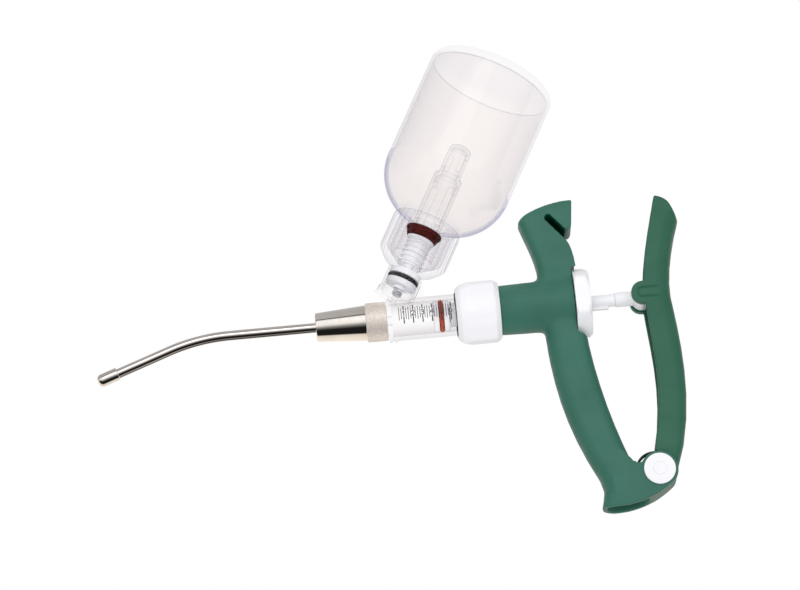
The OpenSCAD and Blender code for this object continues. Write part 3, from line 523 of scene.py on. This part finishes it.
# Painted shade: the barrel's upper side is tinted greyer through its top colours.
clear_barrel = clear_finish("clear_barrel", tone(254, 254, 254), tone(244, 243, 246), ior=1.02, edge_at=0.3,
                            coat=0.05, top=tone(244, 241, 241), painted_shade_top_edge=tone(176, 174, 178))
clear_cap = clear_finish("clear_cap", tone(253, 252, 252), tone(210, 208, 215), ior=1.0, edge_at=0.32, coat=0.0)
milky_stem = clear_finish("milky_stem", tone(252, 252, 255), tone(224, 225, 236), ior=1.2, edge_at=0.3,
                          coat=0.1, rough=(0.4, 0.5), through=0.3)
clear_spike = clear_finish("clear_spike", tone(254, 254, 254), tone(204, 203, 209), ior=1.02, edge_at=0.28,
                           coat=0.05)
clear_neck = clear_finish("clear_neck", tone(253, 252, 252), tone(214, 213, 220), ior=1.0, edge_at=0.3, coat=0.0)
clear_bottle = clear_finish("clear_bottle", tone(252, 249, 248), tone(224, 221, 226), ior=1.0, edge_at=0.25,
                            coat=0.8)
clear_shoulder = clear_finish("clear_shoulder", tone(249, 246, 245), tone(176, 175, 200), ior=1.0, edge_at=0.5,
                              coat=0.5, edge_span=(0.6, 0.75))
clear_base = clear_finish("clear_base", tone(254, 253, 253), tone(240, 238, 242), ior=1.0, edge_at=0.25, coat=0.0)
base_line = clear_finish("base_line", tone(206, 205, 216), tone(196, 195, 208), ior=1.0, edge_at=0.3, coat=0.0)
hub_metal = metal_finish("hub_metal", tone(249, 243, 236), tone(240, 232, 223), (0.06, 0.1), lines=14000)
collar_metal = moulded_finish("collar_blasted", tone(248, 238, 230), tone(226, 214, 206), (0.42, 0.55),
                              grain=5200, strength=0.5, cloud=900, metallic=0.5)
# Painted dark reflection: the tube's downward-facing side is coloured dark brown-grey.
tube_metal = metal_finish("tube_metal", tone(240, 233, 228), tone(230, 222, 217), (0.05, 0.09), lines=5000,
                          under=tone(66, 60, 56))
tip_metal = metal_finish("tip_metal", tone(240, 233, 228), tone(230, 222, 217), (0.05, 0.09), lines=5000)
spring_metal = metal_finish("spring_metal", tone(226, 226, 229), tone(212, 212, 216), (0.45, 0.55))
spring_black = moulded_finish("spring_black", tone(30, 30, 33), tone(44, 44, 47), (0.32, 0.45),
                              grain=4000, strength=0.1)


# Handle and lever

def at_hook_root(x, y, z):
    return 14 < x < 36.4 and 5 < z < 19.5 and math.hypot(y, z) > 10.5


def at_grip_root(x, y, z):
    return 13 < x < 36.4 and -22 < z < -3.5 and math.hypot(y, z) > 10.5


def darken_slot(obj):
    """Paints shade on the walls of the hook's slanted slot: they get a darker green where the slot would lie in
    shade.
    """
    foot = place(28.4, 0, 43.9)
    slant = math.radians(51)
    way = Vector((math.cos(slant), 0, -math.sin(slant)))
    obj.data.materials.append(slot_painted_shade)
    for face in obj.data.polygons:
        off = face.center - foot
        run, side = off.dot(way) * 1000, off.cross(way).y * 1000
        if -2.4 < run < 11 and abs(side) < 1.95 and abs(face.normal.y) < 0.75:
            face.material_index = 1


handle = moulded("handle_frame", "handle_moulding", 0.5, 8, 0.3, [(at_hook_root, 70), (at_grip_root, 60)])
dress(handle, green, "syringe_body", "handle_frame")
darken_slot(handle)
lever = moulded("lever", "lever_moulding", 0.32, 5, 0.3,
                rear={"bulge": 4.6, "half_width": 10.05, "reach": 12, "lowest": -80, "highest": 49})
dress(lever, lever_green, "lever", "lever")


# Union nut

def from_middle(a, sides):
    """The angle from the middle of the nearest of several equal sides."""
    step = 2 * math.pi / sides
    return (a + step / 2) % step - step / 2


def nut_flats(r, a):
    """Twelve shallow flats on the nut's side."""
    return r if r < 15 else min(r, 15.45 / math.cos(from_middle(a, 12)))


nut_profile = soften([(-21.9, 11.45, 0.3), (-21.9, 12.6, 1.2), (-19.6, 14.6, 3.0), (-15.5, 15.7, 4.0),
                      (-2.7, 15.7, 2.2), (-0.1, 13.9, 0.6), (-0.1, 11.85), (-15.3, 11.85), (-15.3, 10.5),
                      (-20.3, 10.5), (-20.3, 11.45)], 6)
dress(lathe("nut_body", round_barrel, nut_profile, 144, nut_flats), white,
      "syringe_body", "union_nut")
mouth_profile = soften([(-22.3, 10.42, 0.2), (-22.3, 11.1, 0.4), (-20.4, 11.3), (-20.4, 10.42)])
dress(lathe("mouth_ring", round_barrel, mouth_profile), black_seal,
      "syringe_body", "mouth_seal")


# Nozzle

def blast_collar(obj):
    """Gives the hub's collar, behind the polished cone, its blasted finish."""
    cone_end = place(-67.15, 0, 0)
    obj.data.materials.append(collar_metal)
    for face in obj.data.polygons:
        reach = math.hypot(face.center.y, face.center.z - cone_end.z) * 1000
        if face.center.x > cone_end.x and reach > 8.9:
            face.material_index = 1


def tube_path():
    """Straight out of the hub, round the bend and along the end run."""
    path = [place(TUBE_START - t * (TUBE_START - BEND_X) / 8, 0, 0) for t in range(8)]
    for a in [BEND * i / 32 for i in range(33)]:
        path.append(place(BEND_X - BEND_R * math.sin(a), 0, BEND_R * (math.cos(a) - 1)))
    return path + [round_tip(END_RUN * t / 6, 0, 0) for t in range(1, 7)]


hub_profile = soften([(HUB_FRONT, 2.5, 0.2), (HUB_FRONT, 7.2, 0.7), (-67.1, 8.95, 0.2), (-67.1, 9.8, 0.35),
                      (-56.6, 9.8, 0.35), (-56.6, 7.85, 0.2), (-65, 7.85), (-65, 4), (-75.5, 4),
                      (-75.5, 1.5), (-80.4, 1.5), (-80.4, 2.5)])
hub = lathe("hub_turned", round_barrel, hub_profile, 128)
dress(hub, hub_metal, "syringe_body", "nozzle_hub")
blast_collar(hub)
dress(sweep("tube_bent", tube_path(), TUBE_R, 40, TUBE_BORE), tube_metal,
      "syringe_body", "drench_tube")
nose = arc(35.8, 0.65, 2.6, [math.radians(7 * i) for i in range(11)])
tip_profile = soften([(27.6, 2.45, 0.1), (27.6, 3.25, 0.4)] + nose
                     + [(38.2, TUBE_BORE), (END_RUN, TUBE_BORE), (END_RUN, 2.45)])
dress(lathe("tip_bulb", round_tip, tip_profile, 64), tip_metal,
      "syringe_body", "drench_tip")


# Cap and seals

def part_finish(obj, material, low, high, near=0.0, far=math.inf, outer=False):
    """Gives the faces between two heights on the port's axis, and two radii, a finish of their own."""
    foot = round_port(0, 0, 0)
    way = (round_port(1, 0, 0) - foot).normalized()
    obj.data.materials.append(material)
    for face in obj.data.polygons:
        height = (face.center - foot).dot(way)
        out = face.center - foot - way * height
        if outer and face.normal.dot(out) <= 0:
            continue
        if low < height * 1000 < high and near < out.length * 1000 < far:
            face.material_index = len(obj.data.materials) - 1


def cap_ribs(r, a):
    """Thirty grip ribs round the cap, which run out at its ends."""
    foot_r, run_out, half_width, rib_height = 16.6, 0.7, 1.2, 0.75
    if r < foot_r:
        return r
    step = 2 * math.pi / 30
    off = abs(a % step - step / 2) * r
    rib = 0.5 + 0.5 * math.cos(math.pi * off / half_width) if off < half_width else 0.0
    return r + rib_height * rib * max(0.0, min(1.0, (r - foot_r) / run_out))


def stem_ridges():
    """Five ridges on the cap's stem, from the lowest up."""
    points = []
    for i in range(5):
        top = 44.4 - 2.7 * i
        points = [(top - 1.5, 5.7, 0.2), (top - 1.2, 6.5, 0.3), (top - 0.3, 6.5, 0.3), (top, 5.7, 0.2)] + points
    return points


stem_foot = [(19.5, 2.5, 0.2), (19.5, 7.9, 0.4), (22.3, 7.9, 0.2), (22.35, 5.75, 0.2), (24.85, 5.75, 0.2),
             (24.9, 7.9, 0.2), (27.8, 7.9, 2.0)]
cap_outside = [(30.8, 13.2, 3.0), (35.4, 17.3, 4.0), (38.6, 17.3), (45, 17.3), (51.6, 17.3), (55.9, 17.3, 2.0)]
cap_inside = [(55.9, 14.9, 0.5), (37.4, 14.9, 3.0), (30.4, 5.7, 0.8)]
stem_top = [(44.7, 5.9, 0.4), (45.6, 7.2, 0.4), (46.55, 7.3, 0.3), (46.55, 2.5, 0.2)]
cap_profile = soften(stem_foot + cap_outside + cap_inside + stem_ridges() + stem_top)
cap = lathe("cap_moulding", round_port, cap_profile, 360, cap_ribs)
dress(cap, clear_cap, "syringe_body", "bottle_adapter")
part_finish(cap, milky_stem, 19, 48.2, 0, 8.2)
dress(lathe("port_ring", round_port, cord_section(23.6, 7.05, 1.1)), black_seal,
      "syringe_body", "port_oring")
bung_profile = soften([(46.6, 2.5, 0.2), (46.6, 7.6, 0.3), (49.2, 8.7, 0.5), (50.2, 9.4, 0.3),
                       (51.55, 9.4, 0.4), (51.55, 2.5, 0.2)])
dress(lathe("neck_bung", round_port, bung_profile), red_seal, "syringe_body", "neck_seal")


# Bottle

NECK_FOOT, NECK_TOP, NECK_R, NECK_BORE, NECK_RING_R = 35.8, 55.4, 12.3, 9.9, 13.15
SHOULDER_TOP, SHOULDER_R, SHOULDER_INNER_R = 82.4, 28, 26.5
SIDE_R, SIDE_INNER_R, SIDE_TOP, BASE_CORNER_R = 32.97, 31.5, 138.4, 5


def bottle_outside():
    """Neck with its rings, shoulder, side, and the base with its hollow."""
    points = [(NECK_FOOT, NECK_R, 0.3)]
    for i in range(6):
        ring = 37.4 + 2.75 * i
        points += [(ring, NECK_R), (ring + 0.7, NECK_RING_R, 0.3), (ring + 1.2, NECK_RING_R, 0.3),
                   (ring + 1.9, NECK_R)]
    points += [(55.3, NECK_R)]
    turn = math.asin((SHOULDER_TOP - NECK_TOP) / SHOULDER_R)
    points += arc(SHOULDER_TOP, 4.97, SHOULDER_R, [-turn + turn * i / 24 for i in range(1, 25)])
    points += [(s, SIDE_R) for s in (95, 110, 125, SIDE_TOP)]
    points += arc(SIDE_TOP, 27.97, BASE_CORNER_R, [math.pi / 2 * i / 10 for i in range(1, 11)])
    return points + [(143.3, 24), (142.9, 18), (142.3, 11), (141.9, 5), (141.8, AXIS_R)]


def bottle_inside():
    """Back from the base's middle, down the side and out through the neck."""
    points = [(140.3, AXIS_R), (140.4, 5), (140.7, 11), (140.9, 18), (140.6, 25), (139, 30.4),
              (138.2, SIDE_INNER_R, 0.7), (137.7, SIDE_INNER_R)]
    points += [(s, SIDE_INNER_R) for s in (125, 110, 95)]
    turn = math.acos((NECK_BORE - 33 + SHOULDER_R) / SHOULDER_INNER_R)
    points += arc(SHOULDER_TOP, 5, SHOULDER_INNER_R, [-(turn * i / 24) for i in range(25)])
    return points + [(50, NECK_BORE), (NECK_FOOT, NECK_BORE, 0.3)]


wall = lathe("bottle_wall", round_port, soften(bottle_outside() + bottle_inside()), 160)
dress(wall, clear_bottle, "bottle", "bottle")
part_finish(wall, clear_neck, 0, 57.5)
part_finish(wall, clear_shoulder, 57.5, 86, outer=True)
part_finish(wall, clear_base, 138.3, 150)
part_finish(wall, base_line, 137.6, 138.6, 31.1, 31.6)


# Dose knob

def knob_sides(r, a):
    """Six flats with crisp corners, which the end chamfers cut back."""
    crisp = 60
    if r < 13:
        return r
    flat = 15.9 / math.cos(from_middle(a, 6))
    return (r ** -crisp + flat ** -crisp) ** (-1 / crisp)


knob_profile = soften([(37.4, 6.05, 0.2), (37.4, 11), (37.4, 16.9, 0.7), (38.5, 18.1, 0.8), (43.2, 18.1, 0.8),
                       (45, 16.2, 0.9), (45, 11), (45, 4.9, 0.4), (43.5, 4.9), (43.5, 6.05)], 5)
dress(lathe("knob_moulding", round_barrel, knob_profile, 360, knob_sides), white,
      "dose_knob", "dose_knob")


# Rod and piston

for node in ("plunger_rod", "rod_end"):
    name = node.replace("plunger_", "") + "_moulding"
    dress(moulded(node, name, 0.3, 3, 0.5), white, "plunger", node)
piston_profile = soften([(-33.5, AXIS_R), (-33.5, 7.9, 0.8), (-30.8, 7.9, 0.2), (-30.8, 5.7), (-28.2, 5.7),
                         (-28.2, 7.9, 0.2), (-25.5, 7.9, 0.5), (-25.5, 3.2), (-30.5, 3.2), (-30.5, AXIS_R)])
dress(lathe("piston_moulding", round_barrel, piston_profile, closed=False), white,
      "plunger", "piston")
dress(lathe("piston_cord", round_barrel, cord_section(-29.5, 6.99, 1.2)), orange_seal,
      "plunger", "piston_ring")


# Hinge

pin_profile = soften([(-10.3, AXIS_R), (-10.3, 3.0), (-10.05, 3.05), (-10.05, 3.35), (-10.3, 3.4),
                      (-10.3, 7.75, 0.5), (-9, 7.75, 0.2), (-9, 3.0), (9.3, 3.0, 0.4), (9.3, AXIS_R)],
                     closed=False)
dress(lathe("pin_moulding", round_hinge, pin_profile, 72, closed=False), white,
      "syringe_body", "hinge_pin")
far_profile = soften([(9, 3.05), (9, 7.75, 0.2), (10.3, 7.75, 0.5), (10.3, 3.05, 0.2)])
dress(lathe("pin_cap_moulding", round_hinge, far_profile, 72), white,
      "syringe_body", "hinge_cap")


def torsion_path():
    """A short leg on the handle, the coil, and a long leg on the lever."""
    x, z, r, turns, pitch, steps = 67.6, -89.3, 9.2, 2.5, 2.1, 90
    half = pitch * turns / 2
    path = [place(x - r, half, z + h) for h in (6.5, 4.5, 2.5, 0.8)]
    for i in range(steps + 1):
        a = math.pi + 2 * math.pi * turns * i / steps
        path.append(place(x + r * math.cos(a), half - 2 * half * i / steps, z + r * math.sin(a)))
    return path + [place(x + r - 2 * t, -half, z + 14 * t) for t in (0.1, 0.3, 0.5, 0.7, 0.85, 1)]


spring = sweep("spring_wire", torsion_path(), 0.6, 12)
spring.data.materials.append(spring_black)
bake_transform(spring)
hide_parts("torsion_spring")


# Valve springs

def valve_coil(name, node, axis, s0, s1, turns):
    """A valve's spring, a coil of wire round the valve's axis."""
    lift, coil_r, wire_r, turn_steps = 1.2, 2.3, 0.275, 20
    steps = turns * turn_steps
    path = [axis(s0 + (s1 - s0) * i / steps, coil_r, 2 * math.pi * i / turn_steps) for i in range(steps + 1)]
    coil = sweep(name, path, wire_r, 10)
    foot, head = axis(s0, 0, 0), axis(s1, 0, 0)
    dress(coil, spring_metal, "syringe_body", node)
    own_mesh(coil)


valve_coil("outlet_coil", "outlet_spring", round_barrel, -74.95, -67.25, 5)
valve_coil("inlet_coil", "inlet_spring", round_port, 15.05, 17.25, 3)


# Scale on the barrel

SCALE_ZERO, SCALE_STEP = -52.9, 4.7
DIGIT_WIDE, DIGIT_TALL, DIGIT_FOOT = 1.6, 2.4, -1.3
FINE_LINE, BOLD_LINE, DIGIT_LINE = 0.32, 0.55, 0.42
DIGITS = {
    1: [(0.2, 0.78), (0.55, 1), (0.55, 0)],
    2: [(0.05, 0.75), (0.15, 0.93), (0.45, 1), (0.8, 0.93), (0.92, 0.72), (0.75, 0.48), (0.05, 0), (0.97, 0)],
    3: [(0.05, 0.88), (0.4, 1), (0.8, 0.92), (0.88, 0.74), (0.72, 0.58), (0.4, 0.54), (0.8, 0.46),
        (0.95, 0.27), (0.8, 0.07), (0.45, 0), (0.05, 0.1)],
    4: [(0.7, 0), (0.7, 1), (0.02, 0.3), (1, 0.3)],
    5: [(0.9, 1), (0.2, 1), (0.12, 0.56), (0.45, 0.63), (0.8, 0.55), (0.95, 0.32), (0.8, 0.08), (0.45, 0),
        (0.05, 0.1)],
    6: [(0.85, 0.93), (0.5, 1), (0.2, 0.83), (0.05, 0.45), (0.15, 0.12), (0.5, 0), (0.85, 0.1), (0.95, 0.32),
        (0.8, 0.54), (0.5, 0.6), (0.18, 0.5), (0.06, 0.35)],
}


def print_scale():
    """Quarter marks and numbered marks, laid on the barrel's side."""
    lift, longest_part, overrun = 0.025, 0.5, 0.7
    verts, faces = [], []

    def stroke(u0, v0, u1, v1, width):
        way = Vector((u1 - u0, v1 - v0))
        long = way.normalized() * width / 2
        wide = Vector((-long.y, long.x))
        parts = max(1, int(way.length / longest_part))
        first = Vector((u0, v0)) - long * overrun
        way += long * (2 * overrun)
        base = len(verts)
        for k in range(parts + 1):
            p = first + way * k / parts
            for q in (p - wide, p + wide):
                verts.append(round_barrel(q.x, BARREL_R + lift, q.y / BARREL_R))
        for k in range(parts):
            b = base + 2 * k
            faces.append((b, b + 1, b + 3, b + 2))

    def on_digit(u, x, y):
        return u - DIGIT_WIDE / 2 + DIGIT_WIDE * x, DIGIT_FOOT + DIGIT_TALL * y

    for quarter in range(2, 25):
        u = SCALE_ZERO + SCALE_STEP * quarter / 4
        if quarter % 4:
            reach = 3.3 if quarter % 2 == 0 else 2.8
            stroke(u, -reach, u, reach, FINE_LINE)
            continue
        stroke(u, 1.75, u, 4.0, BOLD_LINE)
        stroke(u, -5.0, u, -1.9, BOLD_LINE)
        line = DIGITS[quarter // 4]
        for start, end in zip(line, line[1:]):
            stroke(*on_digit(u, *start), *on_digit(u, *end), DIGIT_LINE)
    return add_mesh("scale_print", verts, faces)


scale = print_scale()
film = scale.modifiers.new("film", "SOLIDIFY")
film.thickness = 0.00002
film.offset = 1
apply_modifiers(scale)
scale.data.materials.append(ink)
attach(scale, "syringe_body")


# CAD nodes that keep their own form

OWN_FORM = {"barrel": clear_barrel, "draw_spike": clear_spike, "barrel_gasket": black_seal,
            "nozzle_seal": black_seal, "outlet_valve": orange_seal, "inlet_valve": white, "stop_sleeve": white}
for node, finish in OWN_FORM.items():
    paint(node, finish)


# Studio

# How bright the room is for gloss, by the angle up from straight ahead of the part, in degrees.
REFLECTED = [(-180, 1.0), (-120, 0.9), (-95, 0.75), (-86, 0.012), (-42, 0.012), (-28, 0.16), (-15, 0.5),
             (-4, 0.95), (28, 1.0), (37, 0.8), (41, 0.12), (46, 0.14), (50, 0.45), (90, 0.44), (130, 0.5),
             (158, 0.85), (180, 1.0)]
WARM_GREEN, WARM_BLUE = 0.94, 0.86


def fill_ramp(ramp):
    """Sets the bands that gloss shows; the ones below and behind are a little warm."""
    stops = ramp.color_ramp.elements
    for k, (angle, level) in enumerate(REFLECTED):
        at = (angle + 180) / 360
        stop = stops[0] if k == 0 else stops[-1] if k == len(REFLECTED) - 1 else stops.new(at)
        stop.position = at
        warm = angle < -90
        stop.color = (level, level * WARM_GREEN, level * WARM_BLUE, 1) if warm else (level, level, level, 1)


def make_world():
    """White seen straight or through clear plastic, plain light for the rest, and soft bands for gloss to show."""
    world = bpy.data.worlds.new("studio")
    bpy.context.scene.world = world
    world.use_nodes = True
    tree = world.node_tree
    shade = tree.nodes["Background"]
    path = tree.nodes.new("ShaderNodeLightPath").outputs
    parts = tree.nodes.new("ShaderNodeSeparateXYZ")
    tree.links.new(tree.nodes.new("ShaderNodeTexCoord").outputs["Generated"], parts.inputs["Vector"])
    x, y, z = parts.outputs
    height = maths(tree, "ARCTAN2", z, maths(tree, "MULTIPLY", y, -1.0))
    ramp = tree.nodes.new("ShaderNodeValToRGB")
    tree.links.new(remap(tree, height, -math.pi, math.pi, 0, 1), ramp.inputs["Fac"])
    fill_ramp(ramp)
    through = remap(tree, z, -0.7, 0.2, 0.84, 1.0)
    level = remap(tree, z, -0.6, 0.5, 1.38, 1.2)
    sides = maths(tree, "MULTIPLY", maths(tree, "MULTIPLY", x, x), 0.85)
    behind = remap(tree, y, 0, 1, 0, 0.45)
    around = maths(tree, "SUBTRACT", maths(tree, "SUBTRACT", level, sides), behind)
    gloss = layered(tree, path["Is Glossy Ray"], around, ramp.outputs["Color"])
    clear = layered(tree, path["Is Transmission Ray"], gloss, through)
    seen = layered(tree, path["Is Camera Ray"], clear, (1, 1, 1, 1))
    tree.links.new(seen, shade.inputs["Color"])
    shade.inputs["Strength"].default_value = 1


def add_lamp(name, spot, aim, size, power, mirrored):
    data = bpy.data.lights.new(name, "AREA")
    data.shape = "RECTANGLE"
    data.size, data.size_y = size
    data.energy = power
    lamp = add_object(name, data)
    lamp.location = spot
    lamp.rotation_euler = (Vector(aim) - Vector(spot)).to_track_quat("-Z", "Y").to_euler()
    lamp.visible_glossy = mirrored
    lamp.visible_transmission = False


def add_floor():
    """Pale paper under the handle's foot; it fades out far away and can be seen through from below."""
    half, fade_from, fade_to = 3, 0.4, 1.6
    mesh = bpy.data.meshes.new("floor")
    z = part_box("handle_frame")[0].z
    corners = [(-half, -half, z), (half, -half, z), (half, half, z), (-half, half, z)]
    mesh.from_pydata(corners, [], [(0, 1, 2, 3)])
    floor = add_object("floor", mesh)
    mat, tree, shader = new_material("floor_paper")
    shader.inputs["Base Color"].default_value = (0.94, 0.94, 0.94, 1)
    shader.inputs["Roughness"].default_value = 0.9
    face = tree.nodes.new("ShaderNodeNewGeometry").outputs
    away = tree.nodes.new("ShaderNodeVectorMath")
    away.operation = "LENGTH"
    tree.links.new(face["Position"], away.inputs[0])
    faded = remap(tree, away.outputs["Value"], fade_from, fade_to, 0, 1)
    see_through(tree, shader, maths(tree, "MAXIMUM", face["Backfacing"], faded))
    mesh.materials.append(mat)
    floor.visible_diffuse = False
    floor.visible_glossy = False


def add_camera():
    data = bpy.data.cameras.new("camera")
    data.lens = 126
    data.sensor_width = 36
    data.sensor_fit = "HORIZONTAL"
    camera = add_object("camera", data)
    right, up, ahead = (0.99579, 0.02833, -0.08719), (0.09168, -0.30771, 0.94705), (0, 0.95106, 0.30902)
    spot = (-0.0846, -1.3353, -0.3708)
    rows = [(right[i], up[i], -ahead[i], spot[i]) for i in range(3)]
    camera.matrix_world = Matrix(rows + [(0, 0, 0, 1)])
    bpy.context.scene.camera = camera


make_world()
add_lamp("key", (-0.5, -0.7, 0.9), (0, 0, 0.05), (0.7, 0.7), 0.3, mirrored=False)
add_lamp("front", (-0.12, -1.32, 0.55), (-0.04, 0, 0.12), (0.8, 0.7), 1.4, mirrored=True)
add_floor()
add_camera()
bpy.context.scene.view_settings.view_transform = "Standard"
